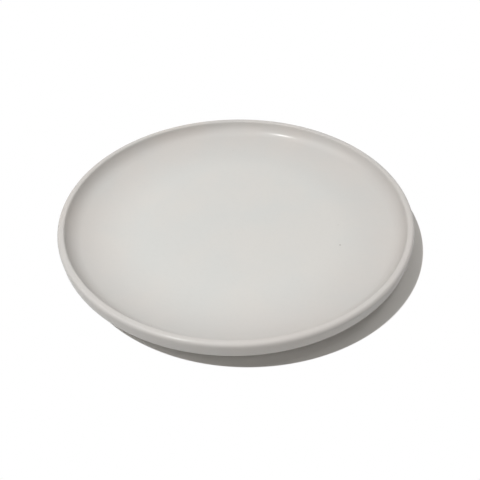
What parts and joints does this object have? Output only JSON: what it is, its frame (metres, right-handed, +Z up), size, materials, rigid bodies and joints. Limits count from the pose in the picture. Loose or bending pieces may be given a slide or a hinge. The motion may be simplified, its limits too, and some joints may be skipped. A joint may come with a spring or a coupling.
{
  "type": "side plate",
  "caption": "Round stoneware side plate with a low upright rim, a soft cove round a dished well and a bare turned foot ring, coated in plain pale grey satin glaze.",
  "frame": {"origin": "on the table, under the middle of the plate", "axes": "+Z up along the plate's turning axis, +X and +Y in the plane of the table"},
  "size_m": [0.2, 0.2, 0.019],
  "materials": {
    "glaze": "satin, plain pale warm grey",
    "bare_clay": "matte, unglazed fired stoneware"
  },
  "bodies": {
    "root": {"stoneware_body": "bare_clay", "upper_glaze_coat": "glaze", "base_glaze_coat": "glaze"}
  },
  "joints": []
}
